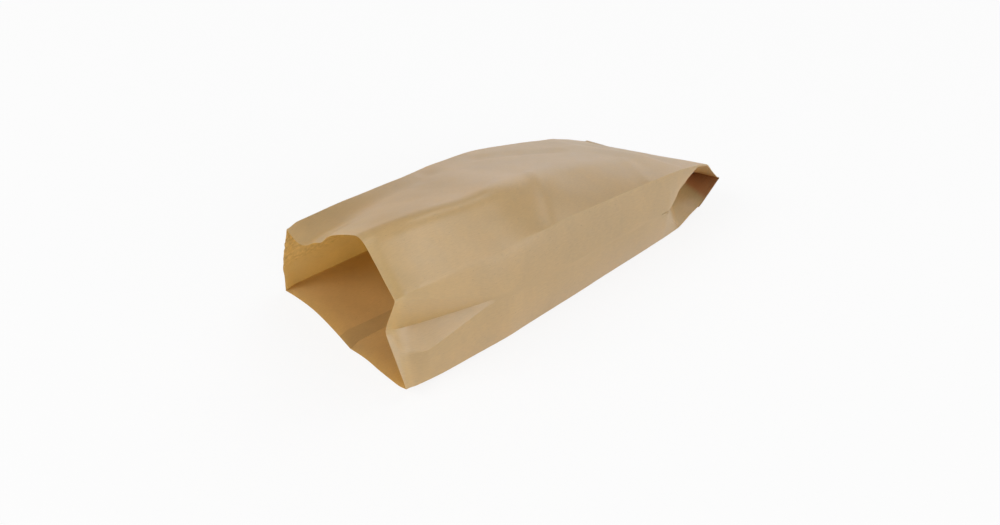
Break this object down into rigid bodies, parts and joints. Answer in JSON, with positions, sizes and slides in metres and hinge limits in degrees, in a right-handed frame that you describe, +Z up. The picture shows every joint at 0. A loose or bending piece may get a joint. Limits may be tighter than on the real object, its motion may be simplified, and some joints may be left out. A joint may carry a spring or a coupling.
{
  "type": "gusseted paper bag",
  "caption": "Kraft paper takeaway bag with folded side gussets, opened at the mouth and lying on its back panel, its closed end pinched flat, folded over and glued.",
  "frame": {"origin": "centre of the bounding box, on the table that the bag lies on", "axes": "+X runs along the bag from its open mouth to its closed end, +Y from the near gusset to the far one, +Z up from the table"},
  "size_m": [0.3112, 0.1484, 0.1009],
  "materials": {
    "kraft_paper": "thin brown kraft paper, machine glazed outside with a soft sheen, fibrous and slightly see-through against the light"
  },
  "bodies": {
    "root": {"paper_bag": "kraft_paper"}
  },
  "joints": []
}
